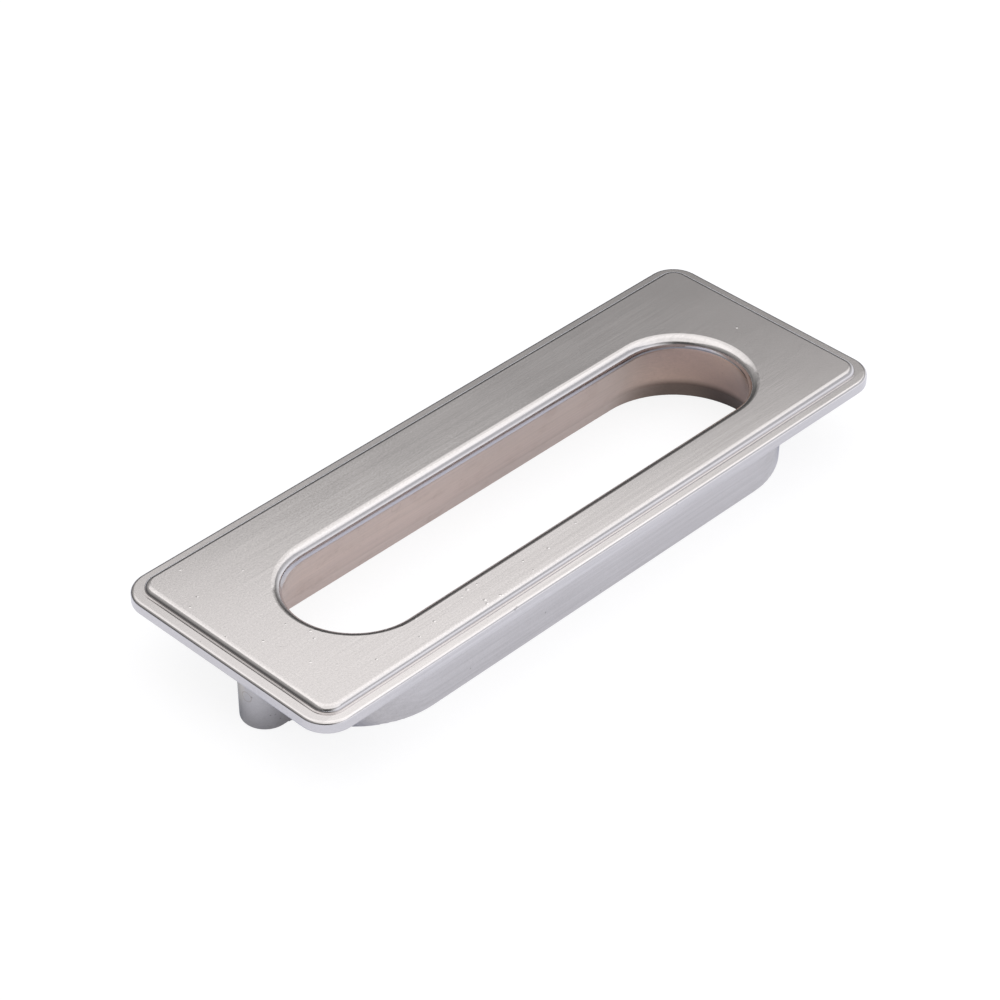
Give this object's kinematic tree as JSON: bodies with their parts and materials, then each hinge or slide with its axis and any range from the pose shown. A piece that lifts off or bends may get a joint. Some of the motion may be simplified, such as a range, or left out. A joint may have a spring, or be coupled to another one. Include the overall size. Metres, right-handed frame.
{
  "type": "recessed pull handle",
  "caption": "Flush pull handle for a sliding door or drawer front: a long plate with a rolled finger slot, a flared skirt below it, and round-nosed screw bosses at the ends.",
  "frame": {"origin": "below the middle of the face plate, on the plane of the skirt's lower rim", "axes": "+X along the plate's length, +Y across the plate towards its wider margin, +Z out of the door through the slot, from the skirt's rim to the panel's face"},
  "size_m": [0.1078, 0.0392, 0.0125],
  "materials": {
    "satin_nickel": "satin brushed nickel plating on a zinc casting"
  },
  "bodies": {
    "root": {"pull_body": "satin_nickel"}
  },
  "joints": []
}
